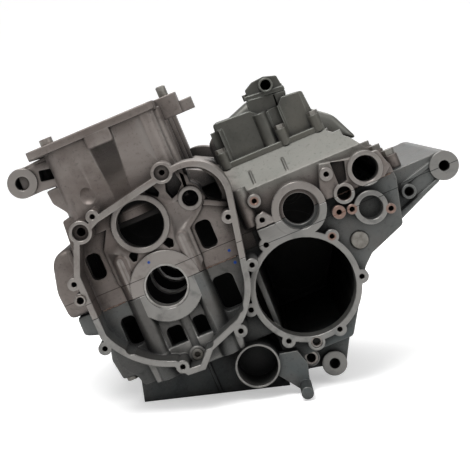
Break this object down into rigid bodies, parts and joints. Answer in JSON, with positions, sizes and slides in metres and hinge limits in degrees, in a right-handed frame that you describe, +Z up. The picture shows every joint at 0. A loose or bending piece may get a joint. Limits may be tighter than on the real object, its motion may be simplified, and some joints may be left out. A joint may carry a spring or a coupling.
{
  "type": "engine crankcase",
  "caption": "Inline engine crankcase in two cast halves with an inclined cylinder block, gearbox housing, round side cover flange, clutch port, breather cover and mounting lugs.",
  "frame": {"origin": "crank axis at the parting plane, halfway along the crank bearings", "axes": "+X to the rear of the engine, +Y along the crank away from the near side cover flange, +Z up with the sump face level"},
  "size_m": [0.4505, 0.383, 0.3237],
  "materials": {
    "upper_casting": "sand cast, oxidised warm grey, faces machined",
    "lower_casting": "sand cast, oxidised cool grey, faces machined",
    "breather_casting": "dark grey-green, dull",
    "iron_liner": "honed bore",
    "bearing_shell": "satin shell",
    "fastener": "dull zinc plate, handled",
    "dowel": "ground, lightly rusted",
    "plug": "dull plated, stained"
  },
  "bodies": {
    "root": {"breather_cover": "breather_casting", "breather_cover_bolts": "fastener", "breather_outlet": "breather_casting", "case_flange_bolts": "fastener", "clutch_cover_dowel": "dowel", "core_plug": "plug", "cylinder_liner_1": "iron_liner", "cylinder_liner_2": "iron_liner", "cylinder_liner_3": "iron_liner", "cylinder_liner_4": "iron_liner", "deck_dowels": "dowel", "deck_rear_stud": "fastener", "gallery_plug": "plug", "lower_crankcase": "lower_casting", "lower_mount_bush": "dowel", "main_bearing_bolts": "fastener", "main_bearing_shells_lower": "bearing_shell", "main_bearing_shells_upper": "bearing_shell", "side_cover_dowel": "dowel", "upper_crankcase": "upper_casting"}
  },
  "joints": []
}
